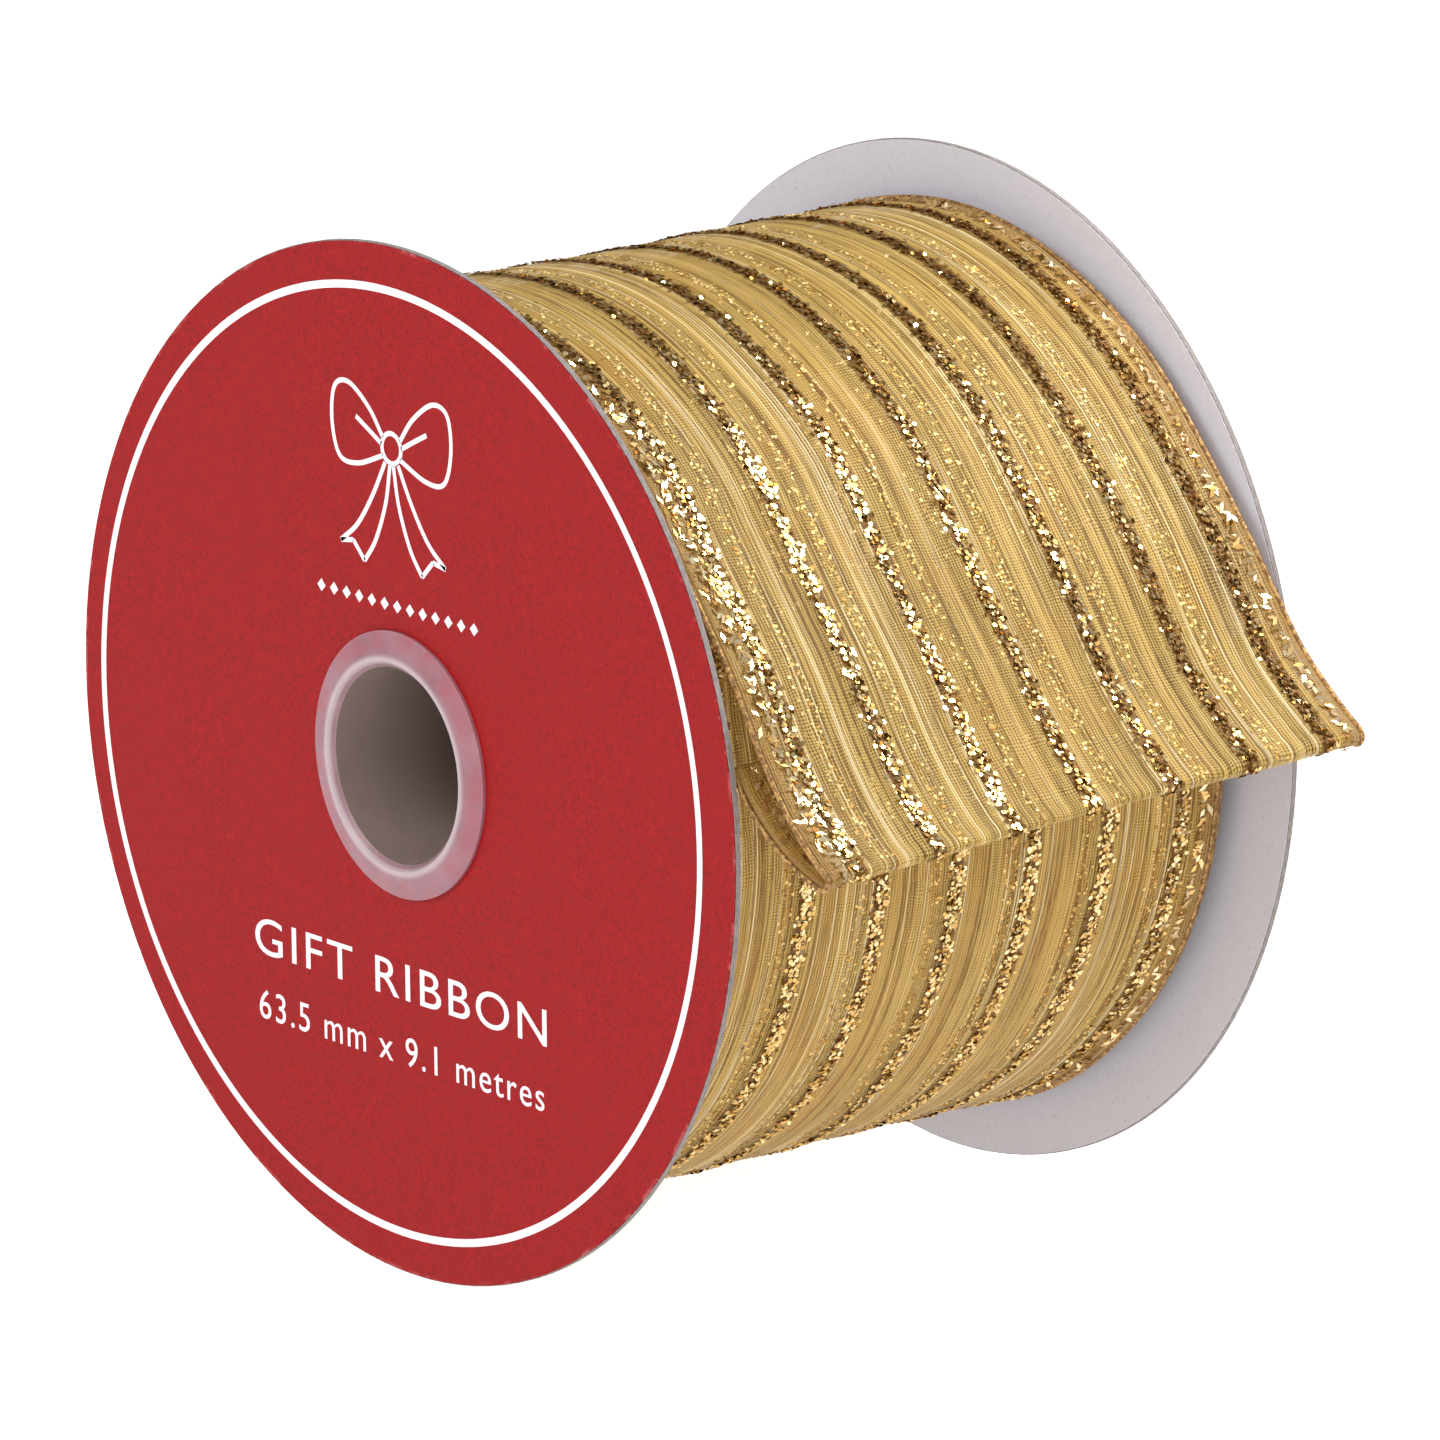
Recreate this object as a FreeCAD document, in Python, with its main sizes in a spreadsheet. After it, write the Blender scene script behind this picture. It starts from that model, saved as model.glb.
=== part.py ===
import FreeCAD, Part
import math
import os

# Ribbon spool: a roll of sheer wired gift ribbon, 63.5 mm wide, between two 100 mm paper-faced
# board discs.  A paper tube spaces the discs, and a two-part snap-together plastic hub with a
# 19 mm bore clamps them to it.  Millimetres, +Z up, bore axis along Y, the printed disc faces -Y
# and the free end of the ribbon leaves the roll on the +X side.  The origin is on the bore axis,
# midway between the discs.

OUT_DIR = "parts"

# name, value, what it is
SIZES = [
    ("disc_radius", 50.0, "outer radius of both discs"),
    ("paper_radius", 49.9, "outer radius of the papers glued to the discs"),
    ("disc_hole_radius", 11.15, "hole in each disc round the hub barrel"),
    ("disc_gap", 67.0, "clear distance between the two discs"),
    ("board_thick", 0.5, "grey board in each disc"),
    ("label_thick", 0.1, "printed paper on the outside of a disc"),
    ("liner_thick", 0.1, "pale paper on the inside of a disc"),
    ("tube_radius", 13.0, "outside of the paper tube the ribbon is wound on"),
    ("tube_bore_radius", 11.15, "inside of the paper tube"),
    ("bore_radius", 9.5, "clear bore of the hub, for a 19 mm rod"),
    ("barrel_radius", 11.0, "outside of both hub barrels"),
    ("nose_radius", 10.15, "outside of the front hub's plug-in nose"),
    ("nose_length", 20.0, "length of the plug-in nose"),
    ("socket_radius", 10.25, "socket in the rear hub that takes the nose"),
    ("socket_relief", 0.3, "free depth left beyond the nose"),
    ("snap_bead_radius", 0.25, "section radius of the snap bead on the nose"),
    ("snap_groove_radius", 0.32, "section radius of the groove that takes the bead"),
    ("snap_position", 16.0, "distance of the snap bead from the middle"),
    ("flange_radius", 12.9, "outside of the hub flange"),
    ("flange_rim", 0.35, "thickness of the flange at its rim"),
    ("lip_radius", 10.5, "outside of the raised lip round the bore, where the flange slope ends"),
    ("lip_height", 1.1, "height of the lip above the label"),
    ("mouth_radius", 10.1, "radius of the bevelled bore mouth"),
    ("mouth_depth", 0.6, "depth of the bevel"),
    ("ribbon_width", 63.5, "full width of the ribbon over its wired edges"),
    ("ribbon_thick", 0.3, "thickness of the outer turn and the free end"),
    ("wire_thick", 0.4, "thickness and width of the wired edge"),
    ("roll_radius", 43.2, "outside of the tightly wound pack"),
    ("roll_bore_radius", 13.12, "inside of the wound pack"),
    ("roll_sag_side", -0.35, "how far the outer turns have slumped away from the free end"),
    ("roll_sag_down", -0.6, "how far the outer turns have slumped down"),
    ("winding_pitch", 0.607, "radial distance from one turn to the next"),
    ("tape_thick", 0.1, "tape that holds the inner end of the ribbon to the tube"),
    ("tape_width", 48.0, "width of that tape"),
    ("tape_angle", 110.0, "how far the tape reaches round the tube, degrees"),
]

# Outer turn where it has sprung loose over the top of the roll: angle from +X in degrees, radius.
LOOSE_TURN = [
    (150.0, 42.70), (140.0, 42.95), (130.0, 43.20), (115.0, 43.60), (100.0, 44.10), (85.0, 44.85),
    (75.0, 45.40), (60.0, 46.20), (50.0, 46.62), (44.0, 46.78), (41.0, 46.80),
]

# Free end of the ribbon, side view (x, z): leaves the roll, hangs down and kicks outward, then its
# last few millimetres are folded back underneath.
FREE_END = [
    (34.50, 32.00), (38.30, 27.90), (42.00, 23.55), (45.90, 18.60), (49.70, 13.55), (53.30, 9.35),
    (57.00, 5.95), (60.60, 3.25), (61.75, 2.30), (61.35, 1.40), (60.10, 1.40), (57.20, 2.70),
    (54.20, 4.50), (51.60, 6.70),
]

SPIRAL_STEP = 60.0      # degrees between points along the wound turns
LOOSE_STEP = 5.3        # degrees between points along the loose turn
PATH_STEP = 0.45        # distance between points along the free end
SLUMP_FADE = 50.0       # degrees over which the slump dies out along the loose turn

AXIS_ALONG_Y = FreeCAD.Rotation(FreeCAD.Vector(1, 0, 0), -90)

os.makedirs(OUT_DIR, exist_ok=True)
doc = FreeCAD.newDocument("ribbon_spool")

sheet = doc.addObject("Spreadsheet::Sheet", "Sizes")
size = {}
for row, (name, value, meaning) in enumerate(SIZES, start=1):
    sheet.set("A%d" % row, name)
    sheet.set("B%d" % row, str(value))
    sheet.set("C%d" % row, meaning)
    sheet.setAlias("B%d" % row, name)
    size[name] = value
doc.recompute()


def bind(obj, **formulas):
    """Tie properties of an object to formulas of the size sheet."""
    for prop, formula in formulas.items():
        text = formula
        for name in sorted(size, key=len, reverse=True):
            text = text.replace("$" + name, "Sizes." + name)
        obj.setExpression(prop.replace("__", "."), text)


def cylinder(name, radius, length, start, angle=None):
    """A cylinder along +Y that starts at y = start."""
    obj = doc.addObject("Part::Cylinder", name)
    obj.Placement = FreeCAD.Placement(FreeCAD.Vector(0, 0, 0), AXIS_ALONG_Y)
    bind(obj, Radius=radius, Height=length, Placement__Base__y=start)
    if angle:
        bind(obj, Angle=angle)
    return obj


def ring_bead(name, ring_radius, section_radius, position):
    """A torus round the Y axis."""
    obj = doc.addObject("Part::Torus", name)
    obj.Placement = FreeCAD.Placement(FreeCAD.Vector(0, 0, 0), AXIS_ALONG_Y)
    bind(obj, Radius1=ring_radius, Radius2=section_radius, Placement__Base__y=position)
    return obj


def cone(name, radius_start, radius_end, length, start):
    """A cone along +Y that starts at y = start."""
    obj = doc.addObject("Part::Cone", name)
    obj.Placement = FreeCAD.Placement(FreeCAD.Vector(0, 0, 0), AXIS_ALONG_Y)
    bind(obj, Radius1=radius_start, Radius2=radius_end, Height=length, Placement__Base__y=start)
    return obj


def cut(name, base, tool):
    obj = doc.addObject("Part::Cut", name)
    obj.Base = base
    obj.Tool = tool
    return obj


def fuse(name, shapes):
    obj = doc.addObject("Part::MultiFuse", name)
    obj.Shapes = shapes
    return obj


nodes = []


def keep(obj, label):
    """Register a finished sub-part under its file name."""
    obj.Label = label
    nodes.append(obj)
    return obj


def disc_layer(label, radius, thick, start):
    """One flat layer of a disc, with the hub hole through it."""
    blank = cylinder(label + "_blank", radius, thick, start)
    hole = cylinder(label + "_hole", "$disc_hole_radius", thick + " * 3", start + " - " + thick)
    return keep(cut(label + "_cut", blank, hole), label)


# --- the two discs: printed or plain paper outside, grey board, pale paper inside --------------
disc_layer("front_liner", "$paper_radius", "$liner_thick", "-$disc_gap / 2 - $liner_thick")
disc_layer("front_board", "$disc_radius", "$board_thick", "-$disc_gap / 2 - $liner_thick - $board_thick")
disc_layer("front_label", "$paper_radius", "$label_thick",
           "-$disc_gap / 2 - $liner_thick - $board_thick - $label_thick")
disc_layer("rear_liner", "$paper_radius", "$liner_thick", "$disc_gap / 2")
disc_layer("rear_board", "$disc_radius", "$board_thick", "$disc_gap / 2 + $liner_thick")
disc_layer("rear_label", "$paper_radius", "$label_thick", "$disc_gap / 2 + $liner_thick + $board_thick")

# Distance from the middle to the outside of a disc, where a hub flange sits.
FACE = "($disc_gap / 2 + $liner_thick + $board_thick + $label_thick)"

# --- paper tube between the discs, and the tape on it ------------------------------------------
tube_blank = cylinder("tube_blank", "$tube_radius", "$disc_gap", "-$disc_gap / 2")
tube_hole = cylinder("tube_hole", "$tube_bore_radius", "$disc_gap * 2", "-$disc_gap")
keep(cut("tube_cut", tube_blank, tube_hole), "core_tube")

tape_blank = cylinder("tape_blank", "$tube_radius + $tape_thick", "$tape_width",
                      "-$tape_width / 2", "$tape_angle")
tape_hole = cylinder("tape_hole", "$tube_radius", "$tape_width * 2", "-$tape_width")
keep(cut("tape_cut", tape_blank, tape_hole), "core_tape")


def flange(side, sign):
    """Flange pieces of a hub half, outside the disc: thin rim, and a slope up to the lip."""
    if sign < 0:
        rim = cylinder(side + "_rim", "$flange_radius", "$flange_rim", "-%s - $flange_rim" % FACE)
        slope = cone(side + "_slope", "$lip_radius", "$flange_radius - 0.1",
                     "$lip_height - $flange_rim", "-%s - $lip_height" % FACE)
    else:
        rim = cylinder(side + "_rim", "$flange_radius", "$flange_rim", FACE)
        slope = cone(side + "_slope", "$flange_radius - 0.1", "$lip_radius",
                     "$lip_height - $flange_rim", "%s + $flange_rim" % FACE)
    lip = cylinder(side + "_lip", "$lip_radius", "$lip_height",
                   "-%s - $lip_height" % FACE if sign < 0 else FACE)
    return [rim, slope, lip]


def bore_and_bevel(side, sign):
    """The clear bore right through, and the bevel at its outer mouth."""
    bore = cylinder(side + "_bore", "$bore_radius", "$disc_gap * 2", "-$disc_gap")
    if sign < 0:
        bevel = cone(side + "_bevel", "$mouth_radius", "$bore_radius", "$mouth_depth",
                     "-%s - $lip_height" % FACE)
    else:
        bevel = cone(side + "_bevel", "$bore_radius", "$mouth_radius", "$mouth_depth",
                     "%s + $lip_height - $mouth_depth" % FACE)
    return fuse(side + "_opening", [bore, bevel])


# --- front half of the hub: flange, barrel and plug-in nose with its snap bead -----------------
front_barrel = cylinder("front_barrel", "$barrel_radius", FACE, "-" + FACE)
front_nose = cylinder("front_nose", "$nose_radius", "$nose_length + 1", "-1")
front_bead = ring_bead("front_snap", "$nose_radius - 0.05", "$snap_bead_radius", "$snap_position")
front_solid = fuse("hub_front_solid", [front_barrel, front_nose, front_bead] + flange("hf", -1))
keep(cut("hub_front_cut", front_solid, bore_and_bevel("hf", -1)), "hub_front")

# --- rear half of the hub: flange, barrel and socket with its snap groove ----------------------
rear_barrel = cylinder("rear_barrel", "$barrel_radius", FACE, "0")
rear_solid = fuse("hub_rear_solid", [rear_barrel] + flange("hr", 1))
rear_socket = cylinder("rear_socket", "$socket_radius", "$nose_length + $socket_relief + 1", "-1")
rear_groove = ring_bead("rear_groove", "$nose_radius - 0.05", "$snap_groove_radius",
                        "$snap_position")
rear_opening = fuse("hub_rear_opening", [rear_socket, rear_groove, bore_and_bevel("hr", 1)])
keep(cut("hub_rear_cut", rear_solid, rear_opening), "hub_rear")


# --- ribbon --------------------------------------------------------------------------------------
def polar(angle_deg, radius):
    """Point (x, z) at an angle from +X."""
    angle = math.radians(angle_deg)
    return (radius * math.cos(angle), radius * math.sin(angle))


def smooth_value(table, key):
    """Value at a key in a falling table of (key, value) rows, without kinks."""
    rows = [FreeCAD.Vector(k, 0, v) for k, v in table]
    for i in range(len(rows) - 1):
        if rows[i].x >= key >= rows[i + 1].x:
            before = rows[max(0, i - 1)]
            after = rows[min(len(rows) - 1, i + 2)]
            span = rows[i + 1].x - rows[i].x
            slope0 = (rows[i + 1].z - before.z) / (rows[i + 1].x - before.x) * span
            slope1 = (after.z - rows[i].z) / (after.x - rows[i].x) * span
            t = (key - rows[i].x) / span
            return ((2 * t ** 3 - 3 * t ** 2 + 1) * rows[i].z + (t ** 3 - 2 * t ** 2 + t) * slope0
                    + (3 * t ** 2 - 2 * t ** 3) * rows[i + 1].z + (t ** 3 - t ** 2) * slope1)
    raise RuntimeError("%g is outside the table" % key)


def turn_point(angle):
    """Point (x, z) on the winding.  The angle falls as the ribbon runs outward, and counts turns."""
    loose_angle, loose_radius = LOOSE_TURN[0]
    if angle >= loose_angle:
        radius = loose_radius - (angle - loose_angle) / 360.0 * size["winding_pitch"]
        slump = radius / size["roll_radius"]
    else:
        radius = smooth_value(LOOSE_TURN, angle)
        slump = max(0.0, 1.0 - (loose_angle - angle) / SLUMP_FADE) ** 2
    x, z = polar(angle, radius)
    return (x + size["roll_sag_side"] * slump, z + size["roll_sag_down"] * slump)


def sideways(before, after, point, distance):
    """A point moved to the left of the direction from before to after."""
    run = math.hypot(after[0] - before[0], after[1] - before[1])
    return FreeCAD.Vector(point[0] - (after[1] - before[1]) / run * distance, 0,
                          point[1] + (after[0] - before[0]) / run * distance)


def both_sides(angles, thick):
    """The two faces of the winding at the given angles."""
    nudge = 0.01
    left = []
    right = []
    for angle in angles:
        around = (turn_point(angle + nudge), turn_point(angle - nudge))
        here = turn_point(angle)
        left.append(sideways(around[0], around[1], here, thick / 2))
        right.append(sideways(around[0], around[1], here, -thick / 2))
    return left, right


def both_sides_of_path(points, step, thick):
    """The two faces of a strip that follows a smooth curve through (x, z) points."""
    curve = Part.BSplineCurve()
    curve.interpolate([FreeCAD.Vector(x, 0, z) for x, z in points])
    count = 2 * int(round(curve.length() / step / 2))
    left = []
    right = []
    for point in curve.toShape().discretize(Number=count + 1):
        direction = curve.tangent(curve.parameter(point))[0]
        after = (point.x + direction.x, point.z + direction.z)
        here = (point.x, point.z)
        left.append(sideways(here, after, here, thick / 2))
        right.append(sideways(here, after, here, -thick / 2))
    return left, right


def arcs(points):
    """Edges of arcs through each point, its next and its next but one."""
    return [Part.Arc(points[i], points[i + 1], points[i + 2]).toShape()
            for i in range(0, len(points) - 2, 2)]


def strip(sides, y_start, y_end):
    """Solid between two side curves that runs from y_start to y_end."""
    left, right = sides
    edges = arcs(left)
    edges.append(Part.LineSegment(left[-1], right[-1]).toShape())
    edges.extend(arcs(list(reversed(right))))
    edges.append(Part.LineSegment(right[0], left[0]).toShape())
    face = Part.Face(Part.Wire(edges))
    face.translate(FreeCAD.Vector(0, y_start, 0))
    return face.extrude(FreeCAD.Vector(0, y_end - y_start, 0))


def solid_node(label, shape):
    """A finished sub-part whose outline is a free curve."""
    obj = doc.addObject("Part::Feature", label + "_body")
    obj.Shape = shape
    obj.Placement = FreeCAD.Placement()
    return keep(obj, label)


half_cloth = size["ribbon_width"] / 2 - size["wire_thick"]
half_ribbon = size["ribbon_width"] / 2
loose_end = LOOSE_TURN[-2][0]
loose_steps = 2 * int(round((LOOSE_TURN[0][0] - loose_end) / LOOSE_STEP / 2))
loose_angles = []
for i in range(loose_steps + 1):
    share = i / loose_steps
    loose_angles.append(LOOSE_TURN[0][0] * (1 - share) + loose_end * share)
loose_sides = both_sides(loose_angles, size["ribbon_thick"])
free_sides = both_sides_of_path(FREE_END, PATH_STEP, size["ribbon_thick"])
free_wire_sides = both_sides_of_path(FREE_END, PATH_STEP, size["wire_thick"])

# Wound pack: a plain ring that has slumped a little, with the loose outer turn on top of it.
pack = Part.makeCylinder(
    size["roll_radius"], 2 * half_cloth,
    FreeCAD.Vector(size["roll_sag_side"], -half_cloth, size["roll_sag_down"]),
    FreeCAD.Vector(0, 1, 0))
pack_bore = Part.makeCylinder(
    size["roll_bore_radius"], 4 * half_cloth,
    FreeCAD.Vector(0, -2 * half_cloth, 0), FreeCAD.Vector(0, 1, 0))
loose_turn = strip(loose_sides, -half_cloth, half_cloth)
solid_node("ribbon_roll", pack.cut(pack_bore).fuse(loose_turn))

# Wired edge of the wound part: one spiral on each side of the pack, from the tube outward, that
# runs on along the loose turn.  The turns slump more the further out they lie.
first_radius = size["roll_bore_radius"] + 0.6
wound_steps = int((LOOSE_TURN[0][1] - first_radius) / size["winding_pitch"] * 360 / SPIRAL_STEP)
wound_steps -= wound_steps % 2
wound_angles = [LOOSE_TURN[0][0] + SPIRAL_STEP * i for i in range(wound_steps, 0, -1)]
wire_sides = both_sides(wound_angles + loose_angles, size["wire_thick"])
solid_node("wire_front", strip(wire_sides, -half_ribbon, -half_cloth))
solid_node("wire_rear", strip(wire_sides, half_cloth, half_ribbon))

# Free end and its two wired edges.
solid_node("ribbon_tail", strip(free_sides, -half_cloth, half_cloth))
solid_node("tail_wire_front", strip(free_wire_sides, -half_ribbon, -half_cloth))
solid_node("tail_wire_rear", strip(free_wire_sides, half_cloth, half_ribbon))

doc.recompute()

# --- checks and export -----------------------------------------------------------------------------
for obj in doc.Objects:
    for state in obj.State:
        if state in ("Invalid", "Error"):
            raise RuntimeError("%s is %s" % (obj.Label, state))
for obj in nodes:
    shape = obj.Shape
    if shape.isNull() or not shape.isValid():
        raise RuntimeError("%s has no valid shape" % obj.Label)
    if len(shape.Solids) != 1:
        raise RuntimeError("%s has %d solids" % (obj.Label, len(shape.Solids)))
    print("%-16s %9.2f mm3" % (obj.Label, shape.Volume))
for obj in nodes:
    obj.Shape.exportStep(os.path.join(OUT_DIR, obj.Label + ".step"))
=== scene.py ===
import math

import bpy
import numpy as np
from mathutils import Matrix, Vector


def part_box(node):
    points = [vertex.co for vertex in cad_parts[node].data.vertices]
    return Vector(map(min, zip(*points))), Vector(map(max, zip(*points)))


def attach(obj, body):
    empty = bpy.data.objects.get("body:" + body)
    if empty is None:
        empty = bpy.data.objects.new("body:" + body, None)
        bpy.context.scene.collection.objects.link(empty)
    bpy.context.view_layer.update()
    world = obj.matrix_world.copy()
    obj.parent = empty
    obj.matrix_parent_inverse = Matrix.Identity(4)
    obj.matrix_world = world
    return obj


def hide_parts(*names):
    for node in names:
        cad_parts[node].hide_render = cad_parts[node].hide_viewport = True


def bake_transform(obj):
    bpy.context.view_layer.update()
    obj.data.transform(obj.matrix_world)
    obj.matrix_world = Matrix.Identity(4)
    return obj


# Looks of the ribbon spool.  Lengths are in millimetres until they become vertices, which are in
# metres.  Side views are (x, z), the bore runs along Y, and "across" and "along" are measured on
# the ribbon itself, from its middle line and from its inner end.

MM = 0.001
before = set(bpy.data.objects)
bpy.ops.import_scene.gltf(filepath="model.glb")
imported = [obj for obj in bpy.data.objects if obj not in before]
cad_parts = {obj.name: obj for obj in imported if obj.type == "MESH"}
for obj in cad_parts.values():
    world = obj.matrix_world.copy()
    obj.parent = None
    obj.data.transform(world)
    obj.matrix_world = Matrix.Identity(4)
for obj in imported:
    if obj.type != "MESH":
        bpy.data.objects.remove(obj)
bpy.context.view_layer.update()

# ---- sizes ----
LABEL_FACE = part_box("front_label")[0][1] / MM
INK_THICK = 0.03

SAG = (-0.35, -0.6)     # the wound ribbon hangs a little off the bore's axis, in x and z
PITCH = 0.607           # growth of the radius in one turn
ROLL_RADIUS = 43.25
PACK_RADIUS = 42.5
PACK_HALF = 31.3
TUBE_RADIUS = 13.15
HALF_WIDTH = 31.45      # of the cloth between its wires
SHEET_THICK = 0.12
WIRE_RADIUS = 0.26

# Radius of the outer turn at each angle from +X, where it comes loose before it leaves the roll.
LOOSE = [(150.0, 43.25), (140.0, 43.38), (130.0, 43.55), (115.0, 43.85), (100.0, 44.25),
         (85.0, 44.90), (75.0, 45.40), (60.0, 46.20), (50.0, 46.62), (44.0, 46.78),
         (41.0, 46.80)]
SLUMP_FADE = 50.0       # degrees over which the sag fades out after the ribbon comes loose
START_TURN = 510.0      # total angle where the modelled outer turn begins, under itself
BARE_TURN = 403.0       # total angle where it comes out from under itself
UNDER_TAIL_SHIFT = 3.6  # sideways place of the pattern on the turn under the free end
SHIFT_TURNS = (372.0, 402.0)    # total angles over which that shift builds up
SEAM_TURN = 186.0       # total angle where the wound turn's piece meets the free end's piece
LAST_TURN = 50.0        # total angle where the free end's own profile takes over
TURN_STEP = 1.25        # degrees between two rows of points on the roll

# Course of the free end at its front and rear edges, from the hinge round the fold to the tip.
FRONT_PROFILE = [(34.5, 32.0), (38.0, 27.7), (41.3, 23.5), (44.5, 19.5), (47.5, 15.7),
                 (51.2, 10.4), (55.3, 5.3), (58.7, 2.1), (60.2, 1.1), (60.75, 0.45),
                 (60.2, -0.15), (58.9, 0.2), (56.1, 1.4), (53.1, 3.4), (50.4, 6.0), (48.2, 9.0)]
REAR_PROFILE = [(34.5, 32.0), (38.5, 28.0), (42.3, 23.9), (46.3, 19.3), (50.0, 14.8),
                (53.6, 10.8), (57.4, 7.6), (60.7, 5.1), (61.8, 4.4), (62.3, 3.7),
                (61.8, 3.1), (60.6, 3.4), (58.0, 4.7), (55.1, 6.6), (52.5, 9.0), (50.3, 11.9)]
FOLD_KNOT = 9           # index of the fold's outermost point in both profiles
TAIL_STEPS = 10         # rows of points between two points of a profile
ACROSS_STEPS = 72

# Sideways wander of the ribbon along Y: how far, and the length over which it builds up.
WOUND_DRIFT = (-1.25, 120.0)
FREE_DRIFT = -0.65
FLAP_DRIFT = (-0.75, 14.0)
DRIFT_AT_HINGE = 0.1

# Heights of the cloth's two waves, everywhere and on the free end.
ROLL_WAVES = (0.10, 0.07)
FREE_WAVES = (0.22, 0.14)
EDGE_LIFT = (0.16, 3.5) # how far both edges rise, and over what width

STRIPE_PITCH = 9.25
STRIPE_HALF = 0.95
STRIPE_COUNT = 3        # stripes on each side of the middle one
WARP_PITCH = 0.33
WEFT_PITCH = 0.30
OPEN_HAZE = 0.50        # share of light that passes straight through the open bands
SATIN_HAZE = 0.20
THROUGH_LIGHT = 0.10    # share of the cloth's light that comes from its far side
EDGE_COVER = 0.60       # how solid the cloth is under the tinsel
SELVEDGE = 2.3

# ---- node helpers ----


class Shader:
    """A material under construction.  Its methods take sockets and plain numbers alike."""

    def __init__(self, name):
        self.mat = bpy.data.materials.new(name)
        self.mat.use_nodes = True
        self.tree = self.mat.node_tree
        self.tree.nodes.clear()
        self.out = self.tree.nodes.new("ShaderNodeOutputMaterial")
        self.bsdf = self.tree.nodes.new("ShaderNodeBsdfPrincipled")
        self.tree.links.new(self.bsdf.outputs[0], self.out.inputs[0])

    def set(self, **values):
        for key, value in values.items():
            self.feed(self.bsdf.inputs[key.replace("_", " ")], value)

    def feed(self, socket, value):
        if isinstance(value, bpy.types.NodeSocket):
            self.tree.links.new(value, socket)
        else:
            socket.default_value = value

    def node(self, kind, inputs=(), **props):
        node = self.tree.nodes.new("ShaderNode" + kind)
        for key, value in props.items():
            setattr(node, key, value)
        for key, value in dict(inputs).items():
            self.feed(node.inputs[key], value)
        return node

    def math(self, op, a, b=0.0, c=0.0, clamp=False):
        node = self.node("Math", {0: a, 1: b, 2: c}, operation=op, use_clamp=clamp)
        return node.outputs[0]

    def mix(self, fac, a, b):
        """Blend of two colours."""
        node = self.node("Mix", {0: fac, 6: a, 7: b}, data_type="RGBA")
        return node.outputs[2]

    def blend(self, fac, a, b):
        """Blend of two numbers."""
        node = self.node("Mix", {0: fac, 2: a, 3: b}, data_type="FLOAT")
        return node.outputs[0]

    def step(self, value, low, high, out_low=0.0, out_high=1.0):
        """Smooth step of a value from one range to another."""
        node = self.node("MapRange", {0: value, 1: low, 2: high, 3: out_low, 4: out_high},
                         interpolation_type="SMOOTHSTEP")
        return node.outputs[0]

    def noise(self, vector, scale, detail=2.0, rough=0.5, dims="3D"):
        node = self.node("TexNoise", {"Scale": scale, "Detail": detail, "Roughness": rough},
                         noise_dimensions=dims)
        self.feed(node.inputs["W" if dims == "1D" else "Vector"], vector)
        return node.outputs["Fac"]

    def cells(self, vector, scale):
        """Distance to the nearest of scattered points."""
        return self.node("TexVoronoi", {"Vector": vector, "Scale": scale}).outputs["Distance"]

    def position(self):
        """Position in millimetres."""
        place = self.node("TexCoord").outputs["Object"]
        return self.node("VectorMath", {0: place, 1: (1000.0, 1000.0, 1000.0)},
                         operation="MULTIPLY").outputs[0]

    def radius(self, pos):
        """Distance from the bore's axis in millimetres."""
        x, _, z = self.split(pos)
        square = self.math("ADD", self.math("MULTIPLY", x, x), self.math("MULTIPLY", z, z))
        return self.math("SQRT", square)

    def attribute(self, name):
        return self.node("Attribute", attribute_name=name, attribute_type="GEOMETRY")

    def split(self, vector):
        node = self.node("SeparateXYZ", {0: vector})
        return node.outputs[0], node.outputs[1], node.outputs[2]

    def join(self, x, y, z):
        return self.node("CombineXYZ", {0: x, 1: y, 2: z}).outputs[0]

    def let_light_through(self, colour, share):
        """Let part of the light that falls on the far side glow through in the given colour."""
        glow = self.node("BsdfTranslucent", {"Color": colour})
        mixed = self.node("MixShader", {0: share})
        self.tree.links.new(self.bsdf.outputs[0], mixed.inputs[1])
        self.tree.links.new(glow.outputs[0], mixed.inputs[2])
        self.tree.links.new(mixed.outputs[0], self.out.inputs[0])

    def bump(self, height, strength, distance):
        node = self.node("Bump", {"Height": height, "Strength": strength,
                                  "Distance": distance * MM})
        self.feed(self.bsdf.inputs["Normal"], node.outputs[0])


def srgb(r, g, b):
    """Linear colour from 0..255 display values."""
    def linear(v):
        v = v / 255.0
        return v / 12.92 if v <= 0.04045 else ((v + 0.055) / 1.055) ** 2.4
    return (linear(r), linear(g), linear(b), 1.0)


# ---- materials ----


def label_paper():
    """Red printed paper: fine print grain, faint mottling and a worn rim."""
    s = Shader("label_paper")
    pos = s.position()
    radius = s.radius(pos)
    grain = s.noise(pos, 3.2, 3.0, 0.7)
    mottle = s.noise(pos, 0.06, 3.0, 0.55)
    red = s.mix(s.step(grain, 0.3, 0.7), srgb(128, 12, 15), srgb(165, 24, 26))
    red = s.mix(s.step(mottle, 0.35, 0.75, 0.0, 0.35), red, srgb(150, 20, 23))
    wear_noise = s.noise(pos, 0.35, 5.0, 0.7)
    rim = s.step(radius, 49.45, 49.9)
    wear = s.math("MULTIPLY", rim, s.step(wear_noise, 0.52, 0.62), clamp=True)
    red = s.mix(s.math("MULTIPLY", wear, 0.5), red, srgb(206, 120, 120))
    s.set(Base_Color=red, Roughness=s.step(grain, 0.2, 0.8, 0.45, 0.60),
          Specular_IOR_Level=0.14)
    s.bump(grain, 0.12, 0.02)
    return s.mat


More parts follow.
